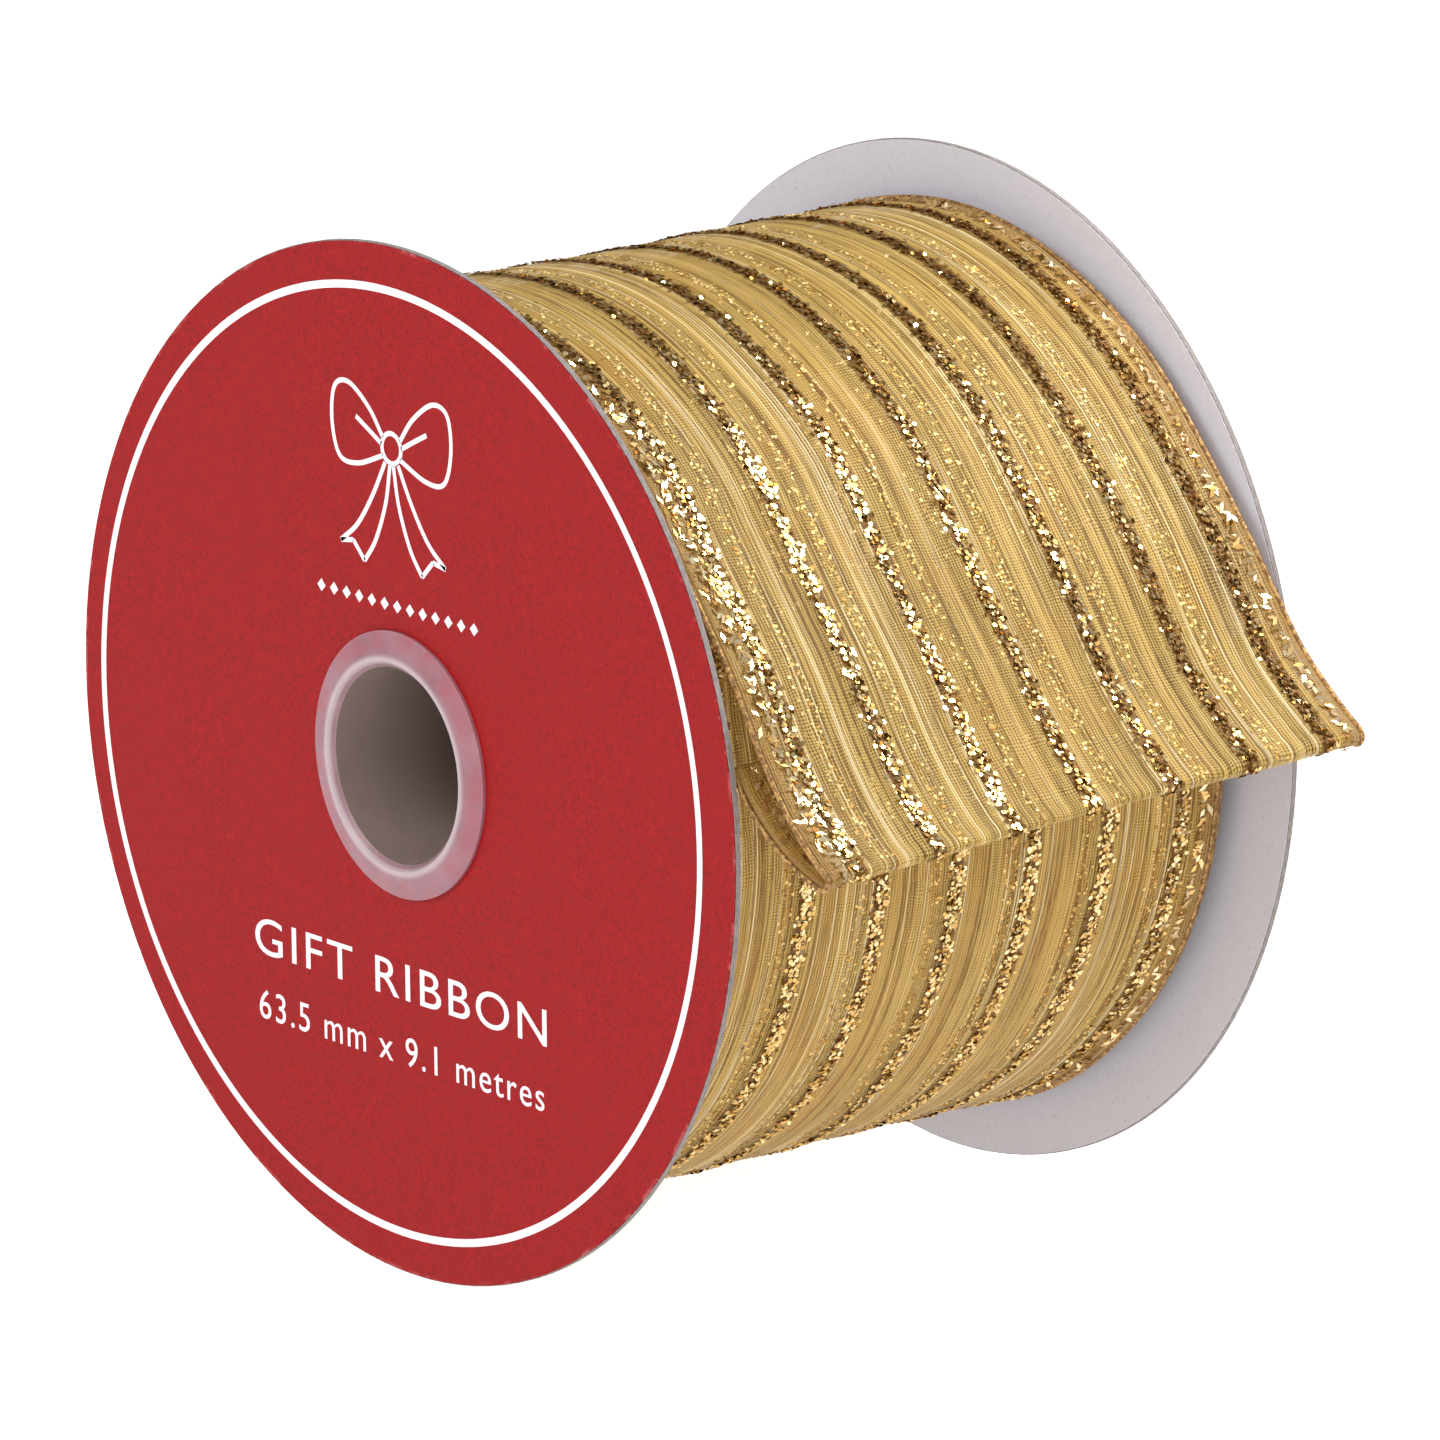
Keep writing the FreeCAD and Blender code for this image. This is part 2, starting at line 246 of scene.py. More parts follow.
def grey_board():
    """Pressed grey board: fibres in the plane of the disc, soft darker specks."""
    s = Shader("grey_board")
    pos = s.position()
    x, y, z = s.split(pos)
    layered = s.join(x, s.math("MULTIPLY", y, 9.0), z)
    fibre = s.noise(layered, 1.3, 4.0, 0.65)
    speck = s.noise(pos, 5.0, 2.0, 0.6)
    colour = s.mix(s.step(fibre, 0.3, 0.7), srgb(116, 110, 108), srgb(164, 154, 150))
    colour = s.mix(s.step(speck, 0.62, 0.72, 0.0, 0.5), colour, srgb(98, 92, 90))
    s.set(Base_Color=colour, Roughness=0.88, Specular_IOR_Level=0.2)
    s.bump(fibre, 0.35, 0.08)
    return s.mat


def pale_paper(name, tint):
    """Uncoated pale paper with short fibres and tiny specks."""
    s = Shader(name)
    pos = s.position()
    fibre = s.noise(pos, 2.2, 5.0, 0.7)
    speck = s.cells(pos, 0.9)
    colour = s.mix(s.step(fibre, 0.25, 0.75), srgb(*(v - 7 for v in tint)), srgb(*tint))
    colour = s.mix(s.step(speck, 0.05, 0.13, 0.55, 0.0), colour, srgb(150, 146, 150))
    s.set(Base_Color=colour, Roughness=0.82, Specular_IOR_Level=0.22)
    s.bump(fibre, 0.2, 0.03)
    return s.mat


def hub_plastic(name, low, high, through):
    """Milky moulded plastic: the disc shows through the thin rim of the flange."""
    s = Shader(name)
    pos = s.position()
    radius = s.radius(pos)
    cloud = s.noise(pos, 0.28, 3.0, 0.6)
    fine = s.noise(pos, 2.5, 3.0, 0.6)
    milk = s.mix(s.step(cloud, 0.3, 0.7), low, high)
    tint = s.step(s.noise(pos, 0.5, 2.0), 0.35, 0.7, 0.15, 0.6)
    milk = s.mix(s.math("MULTIPLY", tint, s.step(radius, 10.6, 11.6)), milk, through)
    # Painted highlight: the band round the bore's lip is painted pale, for its lit edge.
    lip_highlight = s.math("MULTIPLY", s.step(radius, 9.7, 10.0), s.step(radius, 10.3, 10.9, 1.0, 0.0))
    milk = s.mix(s.math("MULTIPLY", lip_highlight, 0.6), milk, srgb(198, 188, 190))
    wall = s.step(radius, 9.4, 9.7, 1.0, 0.0)
    milk = s.mix(wall, milk, srgb(142, 130, 120))
    s.set(Base_Color=milk, Roughness=s.step(fine, 0.3, 0.7, 0.34, 0.46),
          Subsurface_Weight=0.3, Subsurface_Scale=0.0012, Subsurface_Radius=(1.0, 0.6, 0.6),
          Specular_IOR_Level=0.35, Coat_Weight=0.15, Coat_Roughness=0.3)
    s.bump(fine, 0.08, 0.03)
    return s.mat


def plain_board(name, low, high):
    """Plain board or film with soft fibres, for the parts inside the roll."""
    s = Shader(name)
    pos = s.position()
    fibre = s.noise(pos, 1.2, 4.0, 0.6)
    s.set(Base_Color=s.mix(s.step(fibre, 0.3, 0.7), srgb(*low), srgb(*high)), Roughness=0.85)
    s.bump(fibre, 0.3, 0.05)
    return s.mat


def weave_pattern(s):
    """Threads, bands and ground masks of the ribbon, from its own coordinates in millimetres.

    Returns sockets: thread height, hole mask, satin mask, tone of the lengthwise lines, mask of
    the cream threads, mask of the solid ground (glitter stripes and selvedges), mask of the
    selvedges, and the coordinate vector.
    """
    weave = s.attribute("weave").outputs["Vector"]
    place, along, sideways = s.split(weave)
    across = s.math("SUBTRACT", place, sideways)
    warp_wobble = s.math("MULTIPLY", s.noise(weave, 0.16, 2.0), 1.1)
    warp_place = s.math("ADD", across, warp_wobble)
    warp = s.math("SINE", s.math("MULTIPLY", warp_place, 2 * math.pi / WARP_PITCH))
    weft_wobble = s.math("MULTIPLY", s.noise(weave, 0.22, 2.0), 1.6)
    weft_place = s.math("ADD", along, weft_wobble)
    weft = s.math("SINE", s.math("MULTIPLY", weft_place, 2 * math.pi / WEFT_PITCH))
    uneven = s.noise(s.join(s.math("MULTIPLY", across, 3.0), s.math("MULTIPLY", along, 0.6), 0.0),
                     1.0, 3.0, 0.7)
    hole = s.math("MULTIPLY", s.step(warp, -0.5, 0.3, 1.0, 0.0), s.step(weft, -0.5, 0.3, 1.0, 0.0))
    hole = s.math("MULTIPLY", hole, s.step(uneven, 0.3, 0.55))
    height = s.math("ADD", s.math("MULTIPLY", warp, 0.5), s.math("MULTIPLY", weft, 0.4))

    # Distance to the nearest glitter stripe, and place between two stripes.
    repeat = s.math("FRACT", s.math("ADD", s.math("DIVIDE", across, STRIPE_PITCH), 100.0))
    to_stripe = s.math("ABSOLUTE", s.math("SUBTRACT", s.math("FRACT", s.math("ADD", repeat, 0.5)),
                                          0.5))
    ragged = s.math("MULTIPLY", s.math("SUBTRACT", s.noise(weave, 2.4, 2.0), 0.5), 0.05)
    edge_place = STRIPE_HALF / STRIPE_PITCH
    stripe = s.step(s.math("ADD", to_stripe, ragged), edge_place * 0.7, edge_place, 1.0, 0.0)
    beside = s.math("ABSOLUTE", place)
    edge = s.step(beside, HALF_WIDTH - SELVEDGE, HALF_WIDTH - SELVEDGE + 0.4)

    # Dense satin bands between the open ones.
    band = s.node("ValToRGB", {0: repeat})
    ramp = band.color_ramp
    ramp.elements[0].position = 0.0
    ramp.elements[0].color = (0.9, 0.9, 0.9, 1)
    ramp.elements[1].position = 1.0
    ramp.elements[1].color = (0.15, 0.15, 0.15, 1)
    for spot, tone in ((0.14, 0.7), (0.22, 0.15), (0.42, 0.05), (0.52, 0.6), (0.66, 0.8),
                       (0.74, 0.1), (0.88, 0.0)):
        stop = ramp.elements.new(spot)
        stop.color = (tone, tone, tone, 1)
    drift = s.noise(across, 0.35, 3.0, 0.6, dims="1D")
    satin = s.math("ADD", band.outputs[0], s.math("MULTIPLY", s.math("SUBTRACT", drift, 0.5), 1.3),
                   clamp=True)

    # Lengthwise lines of uneven tone, and single cream threads.
    sway = s.math("MULTIPLY", s.noise(along, 0.02, 2.0, dims="1D"), 0.8)
    lane = s.math("ADD", across, sway)
    fine = s.noise(lane, 3.4, 2.0, 0.7, dims="1D")
    broad = s.noise(lane, 1.4, 2.0, 0.5, dims="1D")
    patchy = s.noise(s.join(s.math("MULTIPLY", across, 1.2), s.math("MULTIPLY", along, 0.05), 0.0),
                     1.0, 3.0, 0.6)
    line = s.math("ADD", s.math("MULTIPLY", fine, 0.5),
                  s.math("ADD", s.math("MULTIPLY", broad, 0.2), s.math("MULTIPLY", patchy, 0.3)))
    cell = s.math("FLOOR", s.math("DIVIDE", lane, 0.11))
    pick = s.node("TexWhiteNoise", {"W": cell}, noise_dimensions="1D").outputs["Value"]
    fade = s.noise(s.join(cell, s.math("MULTIPLY", along, 0.03), 0.0), 1.0, 2.0)
    cream = s.math("MULTIPLY", s.step(pick, 0.88, 0.95), s.step(fade, 0.36, 0.60))
    solid = s.math("MAXIMUM", stripe, s.math("MULTIPLY", edge, EDGE_COVER))
    return height, hole, satin, line, cream, solid, edge, weave


PAINTED_AMBER_GLOW = srgb(214, 150, 50)     # painted glow for light through many cloth layers
PAINTED_GLOW_STRENGTH = 0.07


def ribbon_cloth(name, see_through, dark, light, satin_tone, cream_tone, ground_low, ground_high):
    """Sheer metallic-gold organza with solid ground under the glitter."""
    s = Shader(name)
    height, hole, satin, line, cream, solid, edge, weave = weave_pattern(s)
    cloud = s.noise(weave, 0.09, 3.0, 0.6)
    # Painted shade: the cloth is painted dark between the threads and light on their crowns.
    thread_vs_gap_shade = s.step(height, -0.38, 0.42)
    colour = s.mix(thread_vs_gap_shade, dark, light)
    colour = s.mix(s.math("MULTIPLY", satin, 0.55), colour, satin_tone)
    colour = s.mix(s.step(line, 0.51, 0.57, 0.0, 0.80), colour, light)
    colour = s.mix(s.step(line, 0.42, 0.49, 0.85, 0.0), colour, dark)
    colour = s.mix(s.step(cloud, 0.45, 0.8, 0.0, 0.3), colour, srgb(196, 138, 46))
    colour = s.mix(s.math("MULTIPLY", cream, 0.7), colour, cream_tone)
    speckle = s.noise(weave, 3.4, 3.0, 0.7)
    ground = s.mix(s.step(speckle, 0.38, 0.66), ground_low, ground_high)
    casing = s.mix(s.step(speckle, 0.38, 0.66), srgb(108, 70, 28), srgb(180, 130, 60))
    ground = s.mix(edge, ground, casing)
    colour = s.mix(solid, colour, ground)
    # Emission paints a faint amber glow on the cloth, for light through many layers of gold cloth.
    s.set(Base_Color=colour, Roughness=s.blend(satin, 0.55, 0.45),
          Metallic=s.math("MULTIPLY", s.math("SUBTRACT", solid, edge, clamp=True), 0.4),
          Specular_IOR_Level=0.35, Emission_Color=PAINTED_AMBER_GLOW, Emission_Strength=PAINTED_GLOW_STRENGTH,
          Sheen_Weight=0.15, Sheen_Roughness=0.4, Sheen_Tint=(1.0, 0.85, 0.55, 1.0))
    if see_through:
        holes = s.math("MULTIPLY", hole, s.blend(satin, 0.95, 0.35))
        haze = s.blend(satin, OPEN_HAZE, SATIN_HAZE)
        clear = s.math("ADD", holes, haze, clamp=True)
        clear = s.math("MULTIPLY", clear, s.math("SUBTRACT", 1.0, solid, clamp=True))
        clear = s.math("MULTIPLY", clear, s.math("SUBTRACT", 1.0, cream))
        s.set(Alpha=s.math("SUBTRACT", 1.0, clear, clamp=True))
    s.bump(s.math("ADD", height, s.math("MULTIPLY", cream, 0.6)), 0.5, 0.05)
    if see_through:
        s.let_light_through(colour, THROUGH_LIGHT)
    return s.mat


def glitter_metal(name, low, mid, high, rough, metallic=1.0):
    """Metallised flakes, each with its own tone."""
    s = Shader(name)
    tone = s.attribute("tone").outputs["Fac"]
    ramp = s.node("ValToRGB", {0: tone})
    ramp.color_ramp.elements[0].color = low
    ramp.color_ramp.elements[1].color = high
    stop = ramp.color_ramp.elements.new(0.35)
    stop.color = mid
    s.set(Base_Color=ramp.outputs[0], Metallic=metallic, Roughness=rough,
          Specular_Tint=(0.90, 0.70, 0.42, 1.0))
    return s.mat


def edge_wire_metal():
    """Bound wire: brown-gold, rough, with lighter wraps."""
    s = Shader("edge_wire_metal")
    pos = s.position()
    wrap = s.noise(pos, 2.2, 3.0, 0.7)
    colour = s.mix(s.step(wrap, 0.4, 0.62), srgb(116, 80, 40), srgb(190, 146, 84))
    s.set(Base_Color=colour, Metallic=0.35, Roughness=s.step(wrap, 0.3, 0.7, 0.6, 0.42))
    s.bump(wrap, 0.6, 0.15)
    return s.mat


def pack_side():
    """Edges of all the inner turns, seen on the ends of the roll."""
    s = Shader("pack_side")
    pos = s.position()
    radius = s.radius(pos)
    ring = s.math("SINE", s.math("MULTIPLY", radius, 2 * math.pi / PITCH))
    fleck = s.noise(pos, 1.6, 3.0, 0.7)
    colour = s.mix(s.step(ring, -0.4, 0.6), srgb(92, 58, 20), srgb(190, 138, 54))
    colour = s.mix(s.step(fleck, 0.55, 0.68, 0.0, 0.7), colour, srgb(232, 190, 108))
    s.set(Base_Color=colour, Roughness=0.5, Metallic=0.3)
    s.bump(s.math("ADD", ring, fleck), 0.6, 0.12)
    return s.mat


def ink_white():
    s = Shader("ink_white")
    grain = s.noise(s.position(), 4.0, 2.0, 0.6)
    s.set(Base_Color=s.mix(s.step(grain, 0.3, 0.7), srgb(232, 224, 230), srgb(248, 244, 248)),
          Roughness=0.5, Specular_IOR_Level=0.4)
    return s.mat


def floor_white():
    s = Shader("floor_white")
    s.set(Base_Color=(0.5, 0.5, 0.5, 1), Roughness=0.9, Specular_IOR_Level=0.0,
          Emission_Color=(1.0, 1.0, 1.0, 1), Emission_Strength=0.91)
    return s.mat


MAT_LABEL = label_paper()
MAT_BOARD = grey_board()
MAT_LINER = pale_paper("liner_paper", (208, 206, 214))
MAT_BACK = pale_paper("back_paper", (214, 212, 216))
MAT_HUB_FRONT = hub_plastic("hub_plastic", srgb(143, 103, 113), srgb(159, 119, 129),
                            srgb(170, 84, 94))
MAT_HUB_REAR = hub_plastic("hub_plastic_rear", srgb(160, 156, 160), srgb(178, 174, 178),
                           srgb(186, 184, 190))
MAT_TUBE = plain_board("tube_board", (140, 112, 80), (170, 140, 104))
MAT_TAPE = plain_board("tape_film", (196, 180, 140), (214, 200, 160))
MAT_CLOTH = ribbon_cloth("ribbon_cloth", True, srgb(104, 72, 22), srgb(226, 196, 114),
                         srgb(199, 162, 78), srgb(248, 236, 196), srgb(66, 42, 18),
                         srgb(140, 94, 40))
MAT_PACK = ribbon_cloth("ribbon_under", False, srgb(160, 104, 28), srgb(216, 162, 62),
                        srgb(208, 150, 50), srgb(226, 196, 124), srgb(84, 52, 20),
                        srgb(150, 98, 38))
MAT_PACK_SIDE = pack_side()
MAT_GLITTER = glitter_metal("glitter_flakes", srgb(92, 62, 26), srgb(206, 164, 94),
                            srgb(252, 232, 180), 0.26)
MAT_VEILED = glitter_metal("veiled_flakes", srgb(168, 120, 54), srgb(220, 178, 100),
                           srgb(246, 224, 160), 0.50, 0.4)
MAT_TINSEL = glitter_metal("tinsel_flakes", srgb(122, 80, 34), srgb(226, 180, 104),
                           srgb(255, 238, 196), 0.26, 0.85)
MAT_WIRE = edge_wire_metal()
MAT_INK = ink_white()

CAD_LOOKS = {
    "front_label": MAT_LABEL, "front_board": MAT_BOARD, "front_liner": MAT_LINER,
    "rear_liner": MAT_LINER, "rear_board": MAT_BOARD, "rear_label": MAT_BACK,
    "hub_front": MAT_HUB_FRONT, "hub_rear": MAT_HUB_REAR,
    "core_tube": MAT_TUBE, "core_tape": MAT_TAPE,
    "wire_front": MAT_WIRE, "wire_rear": MAT_WIRE,
}
for node, mat in CAD_LOOKS.items():
    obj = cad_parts[node]
    obj.data.materials.clear()
    obj.data.materials.append(mat)

# ---- mesh helpers ----


def make_object(name, verts_mm, faces, materials, smooth=True):
    mesh = bpy.data.meshes.new(name)
    mesh.from_pydata((np.asarray(verts_mm) * MM).tolist(), [], faces)
    mesh.update()
    if smooth:
        mesh.polygons.foreach_set("use_smooth", [True] * len(mesh.polygons))
    obj = bpy.data.objects.new(name, mesh)
    bpy.context.scene.collection.objects.link(obj)
    for mat in materials:
        mesh.materials.append(mat)
    return obj


def add_vector(obj, name, values):
    layer = obj.data.attributes.new(name, "FLOAT_VECTOR", "POINT")
    layer.data.foreach_set("vector", np.asarray(values, np.float32).ravel())


def add_float(obj, name, values):
    layer = obj.data.attributes.new(name, "FLOAT", "POINT")
    layer.data.foreach_set("value", np.asarray(values, np.float32).ravel())


def unit(v):
    return v / np.maximum(np.linalg.norm(v, axis=-1, keepdims=True), 1e-9)


def grid_frames(grid):
    """Direction along, direction across and outward normal at each point of a grid."""
    along = unit(np.gradient(grid, axis=0))
    across = unit(np.gradient(grid, axis=1))
    return along, across, unit(np.cross(along, across))


def slab(name, grid, weave, thick, mat):
    """Closed thin sheet round a grid of points."""
    rows, cols = grid.shape[:2]
    normal = grid_frames(grid)[2]
    top = grid + normal * thick / 2
    bottom = grid - normal * thick / 2
    verts = np.concatenate([top.reshape(-1, 3), bottom.reshape(-1, 3)])
    index = np.arange(rows * cols).reshape(rows, cols)
    a, b, c, d = index[:-1, :-1], index[:-1, 1:], index[1:, 1:], index[1:, :-1]
    upper = np.stack([a, d, c, b], -1).reshape(-1, 4)
    lower = upper[:, ::-1] + rows * cols
    rim = np.concatenate([index[0, :], index[1:, -1], index[-1, -2::-1], index[-2:0:-1, 0]])
    after = np.roll(rim, -1)
    wall = np.stack([rim, after, after + rows * cols, rim + rows * cols], -1)
    faces = np.concatenate([upper, lower, wall]).tolist()
    obj = make_object(name, verts, faces, [mat])
    flat = weave.reshape(-1, 3)
    add_vector(obj, "weave", np.concatenate([flat, flat]))
    return obj


# ---- course of the ribbon ----


def smooth_value(table, key):
    """Value at a key in a falling table of (key, value) rows, without kinks."""
    for i in range(len(table) - 1):
        if table[i][0] >= key >= table[i + 1][0]:
            k0, v0 = table[i]
            k1, v1 = table[i + 1]
            kb, vb = table[max(0, i - 1)]
            ka, va = table[min(len(table) - 1, i + 2)]
            m0 = (v1 - vb) / (k1 - kb) * (k1 - k0)
            m1 = (va - v0) / (ka - k0) * (k1 - k0)
            t = (key - k0) / (k1 - k0)
            return ((2 * t ** 3 - 3 * t ** 2 + 1) * v0 + (t ** 3 - 2 * t ** 2 + t) * m0
                    + (3 * t ** 2 - 2 * t ** 3) * v1 + (t ** 3 - t ** 2) * m1)
    raise RuntimeError("outside the table")


def turn_point(angle):
    """Side-view point of the outer turn.  The angle falls as the ribbon runs outward."""
    if angle >= LOOSE[0][0]:
        radius = ROLL_RADIUS - (angle - LOOSE[0][0]) / 360.0 * PITCH
        slump = 1.0
    else:
        radius = smooth_value(LOOSE, angle)
        slump = max(0.0, 1.0 - (LOOSE[0][0] - angle) / SLUMP_FADE) ** 2
    turn = math.radians(angle)
    return (radius * math.cos(turn) + SAG[0] * slump, radius * math.sin(turn) + SAG[1] * slump)


def curve_points(knots, count):
    """Smooth curve through side-view points, count steps between neighbours."""
    p = np.array(knots, float)
    p = np.vstack([2 * p[0] - p[1], p, 2 * p[-1] - p[-2]])
    out = []
    for i in range(1, len(p) - 2):
        p0, p1, p2, p3 = p[i - 1], p[i], p[i + 1], p[i + 2]
        for k in range(count):
            t = k / count
            out.append(0.5 * (2 * p1 + (p2 - p0) * t + (2 * p0 - 5 * p1 + 4 * p2 - p3) * t ** 2
                              + (3 * p1 - 3 * p2 + p3 - p0) * t ** 3))
    out.append(p[-2])
    return np.array(out)


lead_in = [turn_point(a) for a in (60.0, LAST_TURN)]
tail_front = curve_points(lead_in + FRONT_PROFILE, TAIL_STEPS)[TAIL_STEPS:]
tail_rear = curve_points(lead_in + REAR_PROFILE, TAIL_STEPS)[TAIL_STEPS:]
turn_angles = np.arange(START_TURN, LAST_TURN, -TURN_STEP)
turn_path = np.array([turn_point(a) for a in turn_angles])
front_path = np.vstack([turn_path, tail_front])
rear_path = np.vstack([turn_path, tail_rear])
seam_row = int(np.argmin(np.abs(turn_angles - SEAM_TURN)))
leave_row = len(turn_path)
fold_row = leave_row + (1 + FOLD_KNOT) * TAIL_STEPS
row_count = len(front_path)

middle_path = (front_path + rear_path) / 2
run = np.concatenate([[0.0], np.cumsum(np.linalg.norm(np.diff(middle_path, axis=0), axis=1))])
fold_run = run[fold_row]
end_run = run[-1]
leave_run = run[leave_row]

across_mm = np.linspace(-HALF_WIDTH, HALF_WIDTH, ACROSS_STEPS + 1)
share = (across_mm / HALF_WIDTH + 1) / 2


def sideways_shift(distance):
    """How far the ribbon has wandered along Y at a distance from its modelled start."""
    wound = WOUND_DRIFT[0] * np.clip((leave_run - distance) / WOUND_DRIFT[1], 0.0, 1.0)
    free = FREE_DRIFT * np.clip((distance - leave_run) / (fold_run - leave_run), 0.0, 1.0)
    flap = FLAP_DRIFT[0] * np.clip((distance - fold_run) / FLAP_DRIFT[1], 0.0, 1.0)
    return wound + free + flap + DRIFT_AT_HINGE


def ease_between(value, low, high):
    """0 below the low end, 1 above the high end, and smooth in between."""
    t = np.clip((value - low) / (high - low), 0.0, 1.0)
    return t * t * (3 - 2 * t)


def under_shift(turn_deg):
    """Sideways place of the stripes on the pack, by angle from +X."""
    side = np.clip(2.2 * np.sin(np.radians(turn_deg) - 0.15), -1.0, 1.0)
    return 0.45 + 2.75 * side


grid = np.zeros((row_count, ACROSS_STEPS + 1, 3))
grid[:, :, 0] = front_path[:, None, 0] * (1 - share) + rear_path[:, None, 0] * share
grid[:, :, 2] = front_path[:, None, 1] * (1 - share) + rear_path[:, None, 1] * share
grid[:, :, 1] = across_mm[None, :] + sideways_shift(run)[:, None]

# Gentle unevenness of a thin cloth under its own tension, stronger on the free end.
L = run[:, None]
A = across_mm[None, :]
ease = np.clip((L - leave_run + 30.0) / 60.0, 0.0, 1.0) * np.clip((end_run - L) / 20.0, 0.25, 1.0)
wave = (ROLL_WAVES[0] * np.sin(L / 10.7 + 0.6) * np.sin(A / 8.3 + 1.1)
        + ROLL_WAVES[1] * np.sin(L / 5.1 + A / 6.2 + 2.0)
        + ease * (FREE_WAVES[0] * np.sin(L / 7.9 + 0.4) * np.sin(A / 11.0 - 0.6)
                  + FREE_WAVES[1] * np.sin(L / 4.3 - A / 9.0)))
near_edge = np.clip((np.abs(A) - HALF_WIDTH + EDGE_LIFT[1]) / EDGE_LIFT[1], 0.0, 1.0)
lift = EDGE_LIFT[0] * near_edge ** 2
along_dir, across_dir, normal_dir = grid_frames(grid)
grid = grid + normal_dir * (wave + lift)[:, :, None]
along_dir, across_dir, normal_dir = grid_frames(grid)
weave_grid = np.zeros_like(grid)
weave_grid[:, :, 0] = A
weave_grid[:, :, 1] = L
row_turn = np.concatenate([turn_angles, np.full(row_count - len(turn_angles), turn_angles[-1])])
pattern_shift = UNDER_TAIL_SHIFT * ease_between(row_turn, *SHIFT_TURNS)
weave_grid[:, :, 2] = pattern_shift[:, None]

outer_turn = slab("ribbon_outer_turn", grid[:seam_row + 1], weave_grid[:seam_row + 1],
                  SHEET_THICK, MAT_CLOTH)
free_end = slab("ribbon_free_end", grid[seam_row:], weave_grid[seam_row:], SHEET_THICK,
                MAT_CLOTH)


# ---- wound pack under the outer turn ----


def make_pack():
    """Closed ring: outer face with its own stripes, ends stepped turn by turn, inner bore."""
    segments = 288
    angles = np.linspace(0, 2 * math.pi, segments, endpoint=False)
    rng = np.random.default_rng(5)
    turns = int((PACK_RADIUS - TUBE_RADIUS) / PITCH)
    step_out = rng.uniform(-0.28, 0.0, turns + 1)
    radii = PACK_RADIUS - PITCH * np.arange(turns + 1)
    front = []
    rear = []
    for k, radius in enumerate(radii):
        inner = max(radius - PITCH * 0.62, TUBE_RADIUS)
        front.append((radius, -PACK_HALF - step_out[k]))
        front.append((inner, -PACK_HALF - step_out[k]))
        rear.append((radius, PACK_HALF + step_out[turns - k]))
        rear.append((inner, PACK_HALF + step_out[turns - k]))
    middle = [(PACK_RADIUS, y) for y in np.linspace(-PACK_HALF + 0.4, PACK_HALF - 0.4, 50)]
    profile = list(reversed(front)) + middle + rear     # (radius, y), front bore to rear bore
    count = len(profile)
    verts = []
    weave = []
    for r, y in profile:
        sag = r / PACK_RADIUS if r > TUBE_RADIUS + 0.1 else 0.3
        bumpy = 0.05 * np.sin(angles * 7 + y / 9) if r == PACK_RADIUS else 0.0
        rr = r + bumpy
        x = rr * np.cos(angles) + SAG[0] * sag
        z = rr * np.sin(angles) + SAG[1] * sag
        verts.append(np.stack([x, np.full(segments, y), z], -1))
        weave.append(np.stack([np.full(segments, y), -angles * PACK_RADIUS + 40.0,
                               under_shift(np.degrees(angles))], -1))
    verts = np.concatenate(verts)
    weave = np.concatenate(weave)
    faces = []
    for i in range(count):
        j = (i + 1) % count
        for k in range(segments):
            n = (k + 1) % segments
            faces.append((i * segments + k, i * segments + n, j * segments + n, j * segments + k))
    obj = make_object("ribbon_pack", verts, faces, [MAT_PACK, MAT_PACK_SIDE])
    first = len(front) - 1
    last = first + len(middle)
    which = np.ones(len(faces), np.int32)
    for i in range(first, last + 1):
        which[i * segments:(i + 1) * segments] = 0
    obj.data.polygons.foreach_set("material_index", which)
    add_vector(obj, "weave", weave)
    return obj


pack = make_pack()

# ---- glitter and tinsel: every flake is a small facet of its own ----
HEXAGON = [(math.cos(a), math.sin(a)) for a in np.arange(6) * math.pi / 3]
LEAF = [(-1.0, 0.0), (-0.2, -0.40), (1.0, -0.15), (0.2, 0.40)]
FLAKE_SIZE = (0.19, 0.285)
TINSEL_SIZE = (0.42, 0.74)
STRAY_SIZE = (0.12, 0.20)
UNDER_SIZE = (0.16, 0.27)

# Tilts are the spread of a flake's lean, and turns the (mean, spread) of its spin, in radians.
WOUND_TILT = 0.16
FREE_TILT = 0.10
STRAY_TILT = 0.24
TINSEL_TILT = 0.20
UNDER_TILT = 0.30
LOOSE_TILT = 0.40
CALM_SHARE = 0.66       # share of the flakes that keep the tilt above; the rest have LOOSE_TILT
CUP = 0.005             # how much more the flakes lean per millimetre across the ribbon
CUP_MIDDLE = -25.0
ANY_TURN = (0.0, 3.0)
LEAF_TURN = (0.3, 0.6)

# Flakes per square millimetre, on the outer face and on the inner face.
STRIPE_DENSITY = (8.0, 2.0)
STRAY_DENSITY = 3.0
TINSEL_DENSITY = {"front": (2.5, 1.4), "rear": (0.9, 1.4)}
UNDER_COUNT = 9000      # flakes on the turn below
SHARD_SPACING = 0.60    # between the shards along a selvedge
STRAY_HALF = 0.9
TINSEL_GOLD = 0.6       # mean tone of the tinsel, from 0, dark, to 1, pale


def surface_at(row, col):
    """Position and directions on the ribbon at fractional grid places."""
    r0 = np.clip(np.floor(row).astype(int), 0, row_count - 2)
    c0 = np.clip(np.floor(col).astype(int), 0, ACROSS_STEPS - 1)
    fr = (row - r0)[:, None]
    fc = (col - c0)[:, None]

    def pick(a):
        return ((a[r0, c0] * (1 - fc) + a[r0, c0 + 1] * fc) * (1 - fr)
                + (a[r0 + 1, c0] * (1 - fc) + a[r0 + 1, c0 + 1] * fc) * fr)
    return pick(grid), unit(pick(along_dir)), unit(pick(across_dir)), unit(pick(normal_dir))


